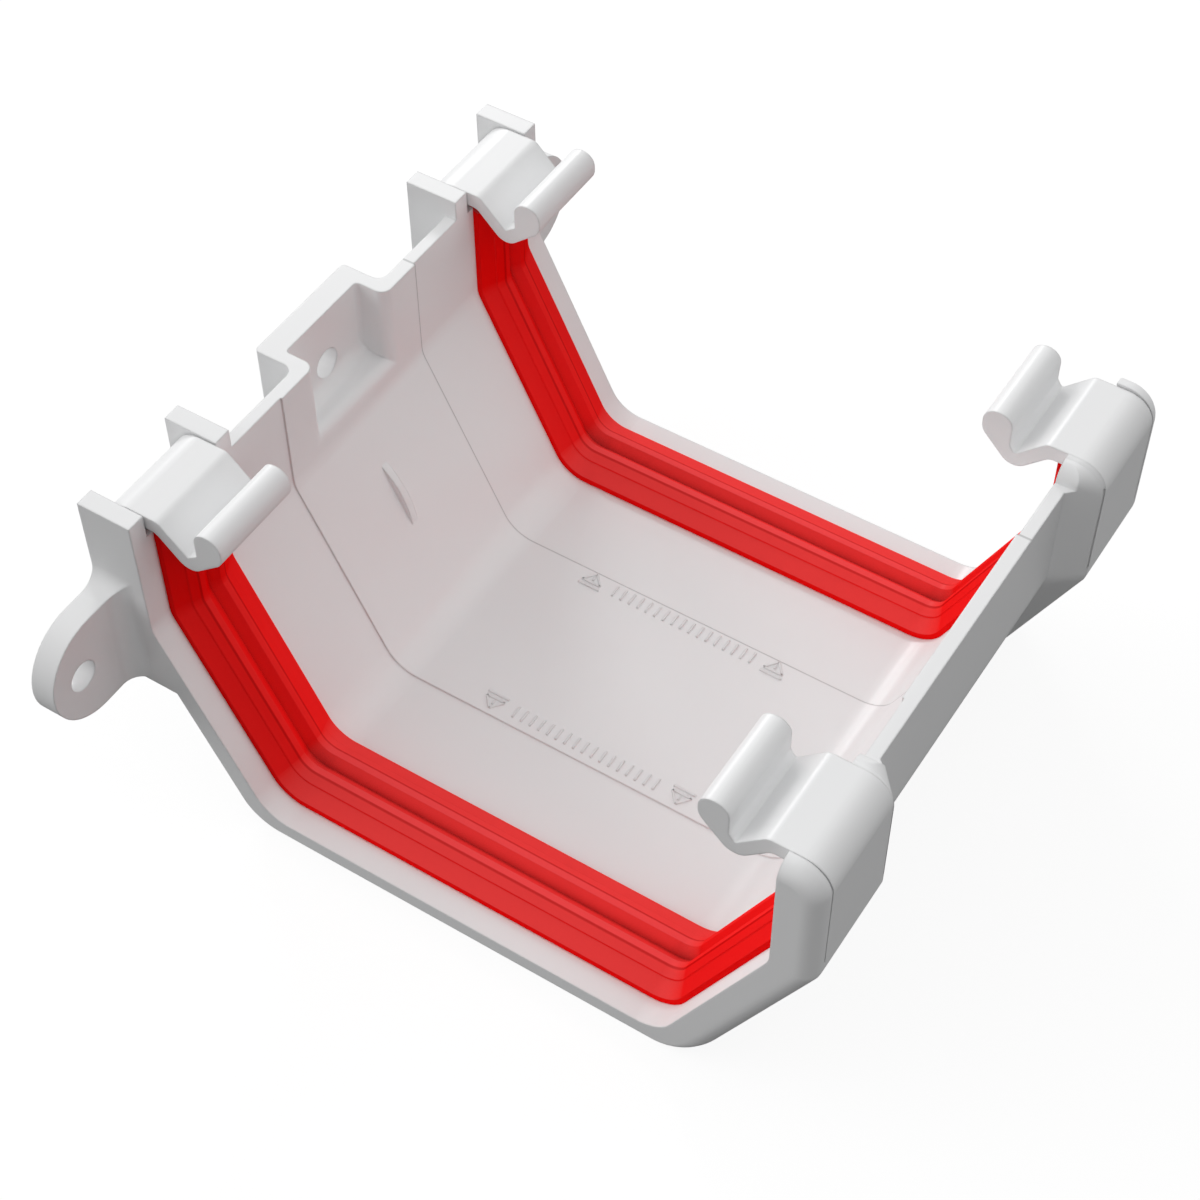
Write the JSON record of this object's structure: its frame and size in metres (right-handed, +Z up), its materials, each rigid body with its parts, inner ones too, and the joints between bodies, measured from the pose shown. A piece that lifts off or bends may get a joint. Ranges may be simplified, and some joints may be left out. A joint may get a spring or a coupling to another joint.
{
  "type": "gutter union",
  "caption": "Moulded plastic union that joins two lengths of square-section rain gutter: open sockets with snap clips, rubber seals and screw lugs at the back.",
  "frame": {"origin": "centre of the middle screw hole, on the plane of the fascia board", "axes": "+X along the gutter, +Y into the fascia board, +Z up; the front of the gutter faces -Y"},
  "size_m": [0.1478, 0.1309, 0.0678],
  "materials": {
    "body": "white moulded plastic, satin to gloss",
    "seal": "red moulded rubber, satin"
  },
  "bodies": {
    "root": {"union_body": "body", "seal_left": "seal", "seal_right": "seal"}
  },
  "joints": []
}
